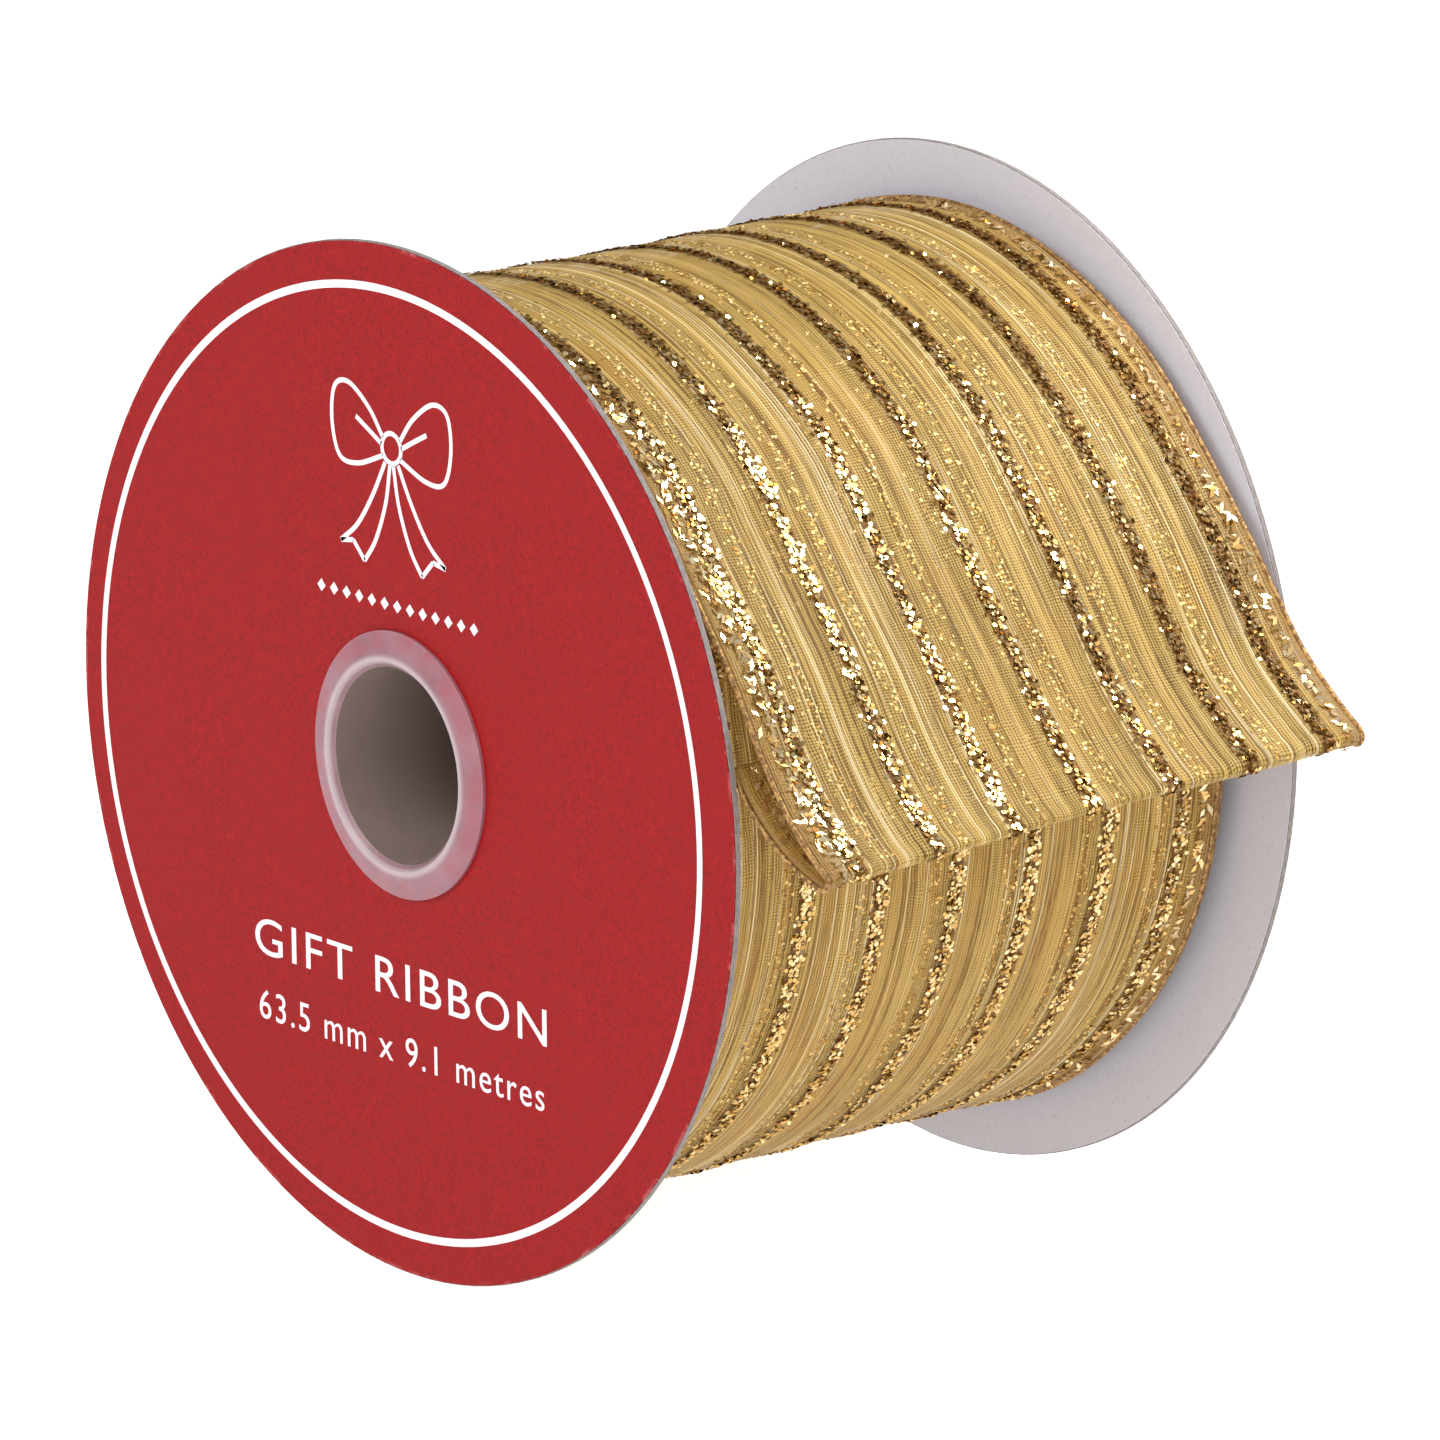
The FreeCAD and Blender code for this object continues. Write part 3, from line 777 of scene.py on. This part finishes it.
def flakes(name, centres, normals, along, across, shape, size, tilt, turn, rng, mat, gold=0.5,
           cup=0.0):
    """One mesh of small facets at the given places."""
    n = len(centres)
    spread = np.where(rng.uniform(0.0, 1.0, n) < CALM_SHARE, tilt, LOOSE_TILT)[:, None]
    tip = rng.normal(0.0, 1.0, (n, 2)) * spread
    tip[:, 1] += cup * (centres[:, 1] - CUP_MIDDLE)
    facing = unit(normals + along * tip[:, :1] + across * tip[:, 1:])
    angle = (turn if isinstance(turn, np.ndarray) else rng.normal(turn[0], turn[1], n))[:, None]
    u = along * np.cos(angle) + across * np.sin(angle)
    u = unit(u - facing * np.sum(u * facing, axis=1, keepdims=True))
    v = np.cross(facing, u)
    scale = rng.uniform(size[0], size[1], n)[:, None]
    corners = [centres + (u * p + v * q) * scale for p, q in shape]
    verts = np.stack(corners, 1).reshape(-1, 3)
    k = len(shape)
    faces = np.arange(n * k).reshape(n, k).tolist()
    obj = make_object(name, verts, faces, [mat], smooth=False)
    tone = np.clip(rng.normal(gold, 0.28, n), 0, 1)
    add_float(obj, "tone", np.repeat(tone, k))
    return obj


def selvedge_row(rng, run_range, middle, spacing, lift):
    """Places one after another along a selvedge, and a zigzag of angles for the shards there."""
    n = int((run_range[1] - run_range[0]) / spacing)
    place = run_range[0] + spacing * (np.arange(n) + rng.uniform(0.2, 0.8, n))
    row = np.interp(place, run, np.arange(row_count))
    offset = middle + rng.normal(0.0, 0.10, n)
    col = (offset + HALF_WIDTH) / (2 * HALF_WIDTH) * ACROSS_STEPS
    p, al, ac, no = surface_at(row, col)
    p = p + no * rng.uniform(lift[0], lift[1], n)[:, None]
    zigzag = np.where(np.arange(n) % 2 == 0, 1.25, -0.70) + rng.normal(0.0, 0.12, n)
    return p, no, al, ac, zigzag


def scatter(rng, run_range, bands, density, lift, side=1.0, shifted=False):
    """Random places on the ribbon: bands are (middle, half width) across, side -1 is inside."""
    parts = []
    length = run_range[1] - run_range[0]
    for middle, half in bands:
        n = int(length * 2 * half * density)
        place = rng.uniform(run_range[0], run_range[1], n)
        offset = middle + half * np.clip(rng.normal(0.0, 0.52, n), -1.15, 1.15)
        row = np.interp(place, run, np.arange(row_count))
        if shifted:
            offset = offset + np.interp(row, np.arange(row_count), pattern_shift)
            keep = np.abs(offset) < HALF_WIDTH - 0.4
            row, offset = row[keep], offset[keep]
            n = len(row)
        col = (offset + HALF_WIDTH) / (2 * HALF_WIDTH) * ACROSS_STEPS
        p, al, ac, no = surface_at(row, col)
        no = no * side
        p = p + no * rng.uniform(lift[0], lift[1], n)[:, None]
        parts.append((p, no, al, ac))
    return [np.concatenate(x) for x in zip(*parts)]


stripe_bands = [(k * STRIPE_PITCH, STRIPE_HALF) for k in range(-STRIPE_COUNT, STRIPE_COUNT + 1)]
edge_bands = {"front": [(-HALF_WIDTH + 1.8, 1.05)], "rear": [(HALF_WIDTH - 1.35, 0.70)]}
seam_run = run[seam_row]
visible_run = np.interp(-BARE_TURN, -turn_angles, run[:len(turn_angles)])

rng = np.random.default_rng(11)
pieces_roll = []
pieces_tail = []

outside, inside = STRIPE_DENSITY
p, no, al, ac = scatter(rng, (0.0, seam_run), stripe_bands, outside, (0.08, 0.24), shifted=True)
pieces_roll.append(flakes("glitter_wound", p, no, al, ac, HEXAGON, FLAKE_SIZE, WOUND_TILT,
                          ANY_TURN, rng, MAT_GLITTER))
p, no, al, ac = scatter(rng, (seam_run, end_run), stripe_bands, outside, (0.08, 0.26))
q = scatter(rng, (leave_run, end_run), stripe_bands, inside, (0.08, 0.18), side=-1.0)
p, no, al, ac = [np.concatenate(x) for x in zip((p, no, al, ac), q)]
pieces_tail.append(flakes("glitter_free_end", p, no, al, ac, HEXAGON, FLAKE_SIZE, FREE_TILT,
                          ANY_TURN, rng, MAT_GLITTER, 0.45, CUP))
# Loose flakes between the stripes, and those that show from the turn below.
for run_range, place, tone, name, group in (
        ((visible_run, seam_run), -2.4, 0.20, "glitter_stray_wound", pieces_roll),
        ((seam_run, fold_run), 3.1, 0.50, "glitter_stray_free_end", pieces_tail)):
    stray_bands = [(k * STRIPE_PITCH + place, STRAY_HALF)
                   for k in range(-STRIPE_COUNT, STRIPE_COUNT + 1)
                   if abs(k * STRIPE_PITCH + place) < HALF_WIDTH - 2.5]
    p, no, al, ac = scatter(rng, run_range, stray_bands, STRAY_DENSITY, (0.07, 0.12))
    group.append(flakes(name, p, no, al, ac, HEXAGON, STRAY_SIZE, STRAY_TILT, ANY_TURN, rng,
                        MAT_VEILED, tone))
for side_name, bands in edge_bands.items():
    middle = bands[0][0]
    outside, inside = TINSEL_DENSITY[side_name]
    p, no, al, ac = scatter(rng, (0.0, seam_run), bands, outside, (0.08, 0.30))
    q = selvedge_row(rng, (0.0, seam_run), middle, SHARD_SPACING, (0.15, 0.35))
    angles = np.concatenate([rng.normal(*LEAF_TURN, len(p)), q[4]])
    p, no, al, ac = [np.concatenate(x) for x in zip((p, no, al, ac), q[:4])]
    pieces_roll.append(flakes("tinsel_wound_" + side_name, p, no, al, ac, LEAF, TINSEL_SIZE,
                              TINSEL_TILT, angles, rng, MAT_TINSEL, TINSEL_GOLD))
    p, no, al, ac = scatter(rng, (seam_run, end_run), bands, outside, (0.08, 0.30))
    q = scatter(rng, (leave_run, end_run), bands, inside, (0.08, 0.25), side=-1.0)
    w = selvedge_row(rng, (seam_run, end_run), middle, SHARD_SPACING, (0.15, 0.40))
    angles = np.concatenate([rng.normal(*LEAF_TURN, len(p) + len(q[0])), w[4]])
    p, no, al, ac = [np.concatenate(x) for x in zip((p, no, al, ac), q, w[:4])]
    pieces_tail.append(flakes("tinsel_free_end_" + side_name, p, no, al, ac, LEAF, TINSEL_SIZE,
                              TINSEL_TILT, angles, rng, MAT_TINSEL, TINSEL_GOLD))

# Glitter of the turn below, which shines through the sheer cloth.
angle = rng.uniform(0, 2 * math.pi, UNDER_COUNT)
stripe = rng.integers(-STRIPE_COUNT, STRIPE_COUNT + 1, UNDER_COUNT) * STRIPE_PITCH
spread = STRIPE_HALF * np.clip(rng.normal(0, 0.55, UNDER_COUNT), -1.2, 1.2)
y = stripe + under_shift(np.degrees(angle)) + spread
no = np.stack([np.cos(angle), np.zeros(UNDER_COUNT), np.sin(angle)], -1)
al = np.stack([np.sin(angle), np.zeros(UNDER_COUNT), -np.cos(angle)], -1)
ac = np.tile(np.array([0.0, 1.0, 0.0]), (UNDER_COUNT, 1))
p = no * (PACK_RADIUS + rng.uniform(0.05, 0.16, UNDER_COUNT))[:, None]
p[:, 0] += SAG[0]
p[:, 2] += SAG[1]
p[:, 1] = y
pieces_roll.append(flakes("glitter_under", p, no, al, ac, HEXAGON, UNDER_SIZE, UNDER_TILT,
                          ANY_TURN, rng, MAT_GLITTER))


# ---- edge wires of the outer turn and the free end ----


def tube(name, line, radius, mat, sides=8):
    """Closed round tube along a line of points."""
    line = np.asarray(line, float)
    tangent = unit(np.gradient(line, axis=0))
    ref = unit(np.cross(tangent, np.array([0.0, 1.0, 0.0])))
    other = np.cross(tangent, ref)
    verts = []
    for a in np.arange(sides) * 2 * math.pi / sides:
        verts.append(line + (ref * math.cos(a) + other * math.sin(a)) * radius)
    verts = np.stack(verts, 1).reshape(-1, 3)
    n = len(line)
    faces = []
    for i in range(n - 1):
        for k in range(sides):
            m = (k + 1) % sides
            faces.append((i * sides + k, i * sides + m, (i + 1) * sides + m, (i + 1) * sides + k))
    faces.append(tuple(range(sides - 1, -1, -1)))
    faces.append(tuple((n - 1) * sides + k for k in range(sides)))
    return make_object(name, verts, faces, [mat])


# Steps of the front wire's cut end beyond the cloth, where it springs out.
SPRUNG = [(-0.6, 0.05, 0.9), (-1.0, 0.0, 1.9), (-1.1, 0.1, 3.0), (-0.8, 0.25, 4.1)]
for side_name, col, out in (("front", 0, -1.0), ("rear", ACROSS_STEPS, 1.0)):
    line = grid[:, col] + np.array([0.0, out * WIRE_RADIUS, 0.0])
    pieces_roll.append(tube("edge_wire_wound_" + side_name, line[:seam_row + 1], WIRE_RADIUS,
                            MAT_WIRE))
    tail_line = line[seam_row:]
    if side_name == "front":
        tail_line = np.vstack([tail_line, [tail_line[-1] + np.array(d) for d in SPRUNG]])
    wire = tube("edge_wire_free_end_" + side_name, tail_line, WIRE_RADIUS, MAT_WIRE)
    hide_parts("tail_wire_" + side_name)
    pieces_tail.append(wire)

# ---- print on the front disc ----
INK_Y = LABEL_FACE - INK_THICK


def flat_print(name, outlines):
    """Thin raised ink: each outline is a strip (list of left points, list of right points)."""
    verts = []
    faces = []
    for left, right, closed in outlines:
        base = len(verts)
        n = len(left)
        for y in (INK_Y, LABEL_FACE):
            for a, b in zip(left, right):
                verts.append((a[0], y, a[1]))
                verts.append((b[0], y, b[1]))
        steps = n if closed else n - 1
        for i in range(steps):
            j = (i + 1) % n
            a, b, c, d = base + 2 * i, base + 2 * i + 1, base + 2 * j + 1, base + 2 * j
            under = 2 * n
            faces.append((a, b, c, d))
            faces.append((d + under, c + under, b + under, a + under))
            faces.append((a, d, d + under, a + under))
            faces.append((c, b, b + under, c + under))
        if not closed:
            a, b = base, base + 1
            faces.append((b, a, a + 2 * n, b + 2 * n))
            c, d = base + 2 * n - 1, base + 2 * n - 2
            faces.append((d, c, c + 2 * n, d + 2 * n))
    obj = make_object(name, verts, faces, [MAT_INK], smooth=False)
    return obj


def ring_strip(centre, radius, half, count=180):
    turns = np.arange(count) * 2 * math.pi / count
    inner, outer = [[(centre[0] + r * math.cos(t), centre[1] + r * math.sin(t)) for t in turns]
                    for r in (radius - half, radius + half)]
    return inner, outer, True


def line_strip(knots, half, steps=12):
    path = curve_points(knots, steps)
    d = np.gradient(path, axis=0)
    d = d / np.linalg.norm(d, axis=1, keepdims=True)
    side = np.stack([-d[:, 1], d[:, 0]], -1) * half
    return [tuple(p) for p in path - side], [tuple(p) for p in path + side], False


BOW = (-0.7, 30.5)      # the knot's place on the disc
INK_HALF = 0.24         # half the width of a printed line


def bow_strips():
    """A plain bow in outline: two loops, a knot and two tails."""
    strips = []
    for sign in (-1, 1):
        loop = [(1.3, 0.9), (3.4, 3.4), (6.4, 5.3), (8.6, 4.6), (9.1, 1.2), (8.0, -2.0),
                (5.2, -2.3), (1.3, -0.9)]
        tail_out = [(1.0, -1.5), (3.0, -5.0), (5.4, -8.2), (8.0, -10.2)]
        tail_in = [(0.25, -1.6), (1.0, -5.4), (2.6, -9.2), (4.4, -11.6)]
        tip = [(8.0, -10.2), (6.1, -9.9), (4.4, -11.6)]
        fold = [(1.5, 0.2), (3.4, 1.2), (5.4, 2.2)]
        for part in (loop, tail_out, tail_in, fold):
            knots = [(BOW[0] + sign * x, BOW[1] + z) for x, z in part]
            strips.append(line_strip(knots, INK_HALF))
        for ends in zip(tip[:-1], tip[1:]):
            knots = [(BOW[0] + sign * x, BOW[1] + z) for x, z in ends]
            strips.append(line_strip(knots, INK_HALF, steps=1))
    strips.append(ring_strip(BOW, 1.45, INK_HALF, 24))
    return strips


def diamonds(x0, x1, z, count, size):
    """A level row of small diamonds."""
    return [([(x - size, z), (x, z - size)], [(x, z + size), (x + size, z)], False)
            for x in np.linspace(x0, x1, count)]


def printed_text(name, body, height, width, centre, z_base):
    """Plain printed words, scaled to a height and a width."""
    curve = bpy.data.curves.new(name, "FONT")
    curve.body = body
    curve.size = 1.0
    curve.align_x = "CENTER"
    curve.space_character = 1.15
    curve.resolution_u = 6
    temp = bpy.data.objects.new(name + "_curve", curve)
    bpy.context.scene.collection.objects.link(temp)
    bpy.context.view_layer.update()
    mesh = bpy.data.meshes.new_from_object(temp.evaluated_get(
        bpy.context.evaluated_depsgraph_get()))
    bpy.data.objects.remove(temp)
    co = np.array([v.co for v in mesh.vertices])
    low, high = co.min(0), co.max(0)
    faces = [tuple(f.vertices) for f in mesh.polygons]
    edges = dict.fromkeys(pair for f in faces for pair in zip(f, f[1:] + f[:1]))
    x = (co[:, 0] - (low[0] + high[0]) / 2) / (high[0] - low[0]) * width + centre
    z = co[:, 1] * height + z_base
    n = len(co)
    verts = [(a, INK_Y, b) for a, b in zip(x, z)] + [(a, LABEL_FACE, b) for a, b in zip(x, z)]
    solid = faces + [tuple(v + n for v in reversed(f)) for f in faces]
    for a, b in edges:
        if (b, a) not in edges:
            solid.append((b, a, a + n, b + n))
    obj = make_object(name, verts, solid, [MAT_INK], smooth=False)
    return obj


pieces_roll.append(flat_print("print_ring", [ring_strip((-1.1, -0.2), 45.85, 0.38)]))
pieces_roll.append(flat_print("print_bow", bow_strips()))
pieces_roll.append(flat_print("print_diamonds", diamonds(-11.9, 11.5, 15.3, 13, 0.62)))
pieces_roll.append(printed_text("print_words", "GIFT RIBBON", 5.2, 45.0, -0.9, -23.0))
pieces_roll.append(printed_text("print_size", "63.5 mm x 9.1 metres", 4.1, 44.0, -0.9, -29.4))

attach(pack, "spool")
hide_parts("ribbon_roll")
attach(outer_turn, "spool")
for obj in pieces_roll:
    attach(obj, "spool")
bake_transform(free_end)
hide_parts("ribbon_tail")
for obj in pieces_tail:
    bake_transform(obj)

# ---- floor, lights and camera ----
FLOOR_HALF = 4000
FLOOR_Z = -50.0
floor = make_object("floor", [(x * FLOOR_HALF, y * FLOOR_HALF, FLOOR_Z)
                              for x, y in ((-1, -1), (1, -1), (1, 1), (-1, 1))],
                    [(0, 1, 2, 3)], [floor_white()], False)

# Name, direction from the object, distance and side in metres, and power in watts.
LIGHTS = (
    ("light_key", (0.103, 0.121, 0.188), 0.246, 0.065, 0.54),
    ("light_front", (-0.10, -1.0, 0.9), 1.5, 0.9, 13.8),
    ("light_side", (1.0, -0.55, 0.30), 1.6, 0.8, 6.0),
)
WORLD_STRENGTH = 0.30


def softbox(name, direction, distance, size, power):
    """Square area light that faces the object from a direction."""
    data = bpy.data.lights.new(name, "AREA")
    data.shape = "SQUARE"
    data.size = size
    data.energy = power
    obj = bpy.data.objects.new(name, data)
    d = Vector(direction).normalized()
    obj.location = d * distance
    obj.rotation_euler = d.to_track_quat("Z", "Y").to_euler()
    obj.visible_camera = False
    bpy.context.scene.collection.objects.link(obj)


for light in LIGHTS:
    softbox(*light)

world = bpy.data.worlds.new("studio")
bpy.context.scene.world = world
world.use_nodes = True
background = world.node_tree.nodes["Background"]
background.inputs[0].default_value = (1.0, 1.0, 1.0, 1)
background.inputs[1].default_value = WORLD_STRENGTH

AZIMUTH = math.radians(51.17)
ELEVATION = math.radians(14.44)
ROLL = math.radians(-0.64)
CAMERA_DISTANCE = 1.354
CAMERA_SHIFT = (0.00341, -0.00149)
LENS = 353.8
back = Vector((math.sin(AZIMUTH) * math.cos(ELEVATION), -math.cos(AZIMUTH) * math.cos(ELEVATION),
               math.sin(ELEVATION)))
right = (-back).cross(Vector((0, 0, 1))).normalized()
up = right.cross(-back)
cam_right = right * math.cos(ROLL) + up * math.sin(ROLL)
cam_up = up * math.cos(ROLL) - right * math.sin(ROLL)
place = right * CAMERA_SHIFT[0] + Vector((0, 0, CAMERA_SHIFT[1])) + back * CAMERA_DISTANCE
camera_data = bpy.data.cameras.new("camera")
camera_data.lens = LENS
camera_data.sensor_width = 36.0
camera_data.clip_start = 0.05
camera_data.clip_end = 20.0
camera = bpy.data.objects.new("camera", camera_data)
camera.matrix_world = Matrix(((cam_right.x, cam_up.x, back.x, place.x),
                              (cam_right.y, cam_up.y, back.y, place.y),
                              (cam_right.z, cam_up.z, back.z, place.z),
                              (0, 0, 0, 1)))
bpy.context.scene.collection.objects.link(camera)
bpy.context.scene.camera = camera
bpy.context.scene.view_settings.view_transform = "Standard"

bpy.context.view_layer.update()
